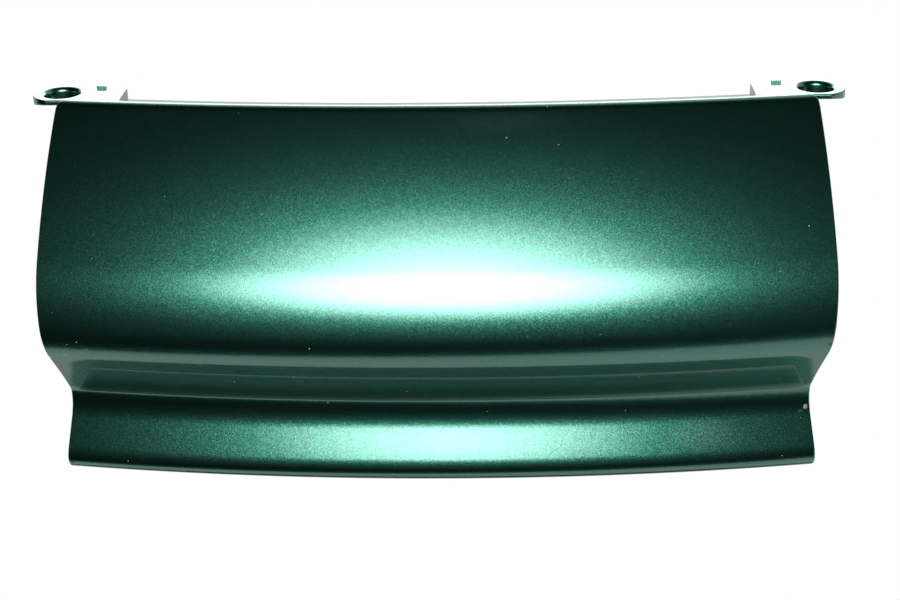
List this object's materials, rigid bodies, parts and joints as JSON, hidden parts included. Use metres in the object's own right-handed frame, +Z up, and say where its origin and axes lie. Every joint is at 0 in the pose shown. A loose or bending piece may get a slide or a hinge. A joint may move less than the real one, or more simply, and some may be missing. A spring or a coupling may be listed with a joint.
{
  "type": "rear fairing lower cover",
  "caption": "Moulded cover for the lower rear of a motorbike fairing, glossy metallic green, with a rolled-under brow, a cove above a lower lip, a top flange and holed mounting ears.",
  "frame": {"origin": "midway between the two ear holes, on the ears' top face", "axes": "+X along the cover, +Y from the painted face into the bike, +Z up through the ear holes"},
  "size_m": [0.249, 0.0671, 0.1126],
  "materials": {
    "green_paint": "metallic paint under a clear coat"
  },
  "bodies": {
    "root": {"lower_cover": "green_paint"}
  },
  "joints": []
}
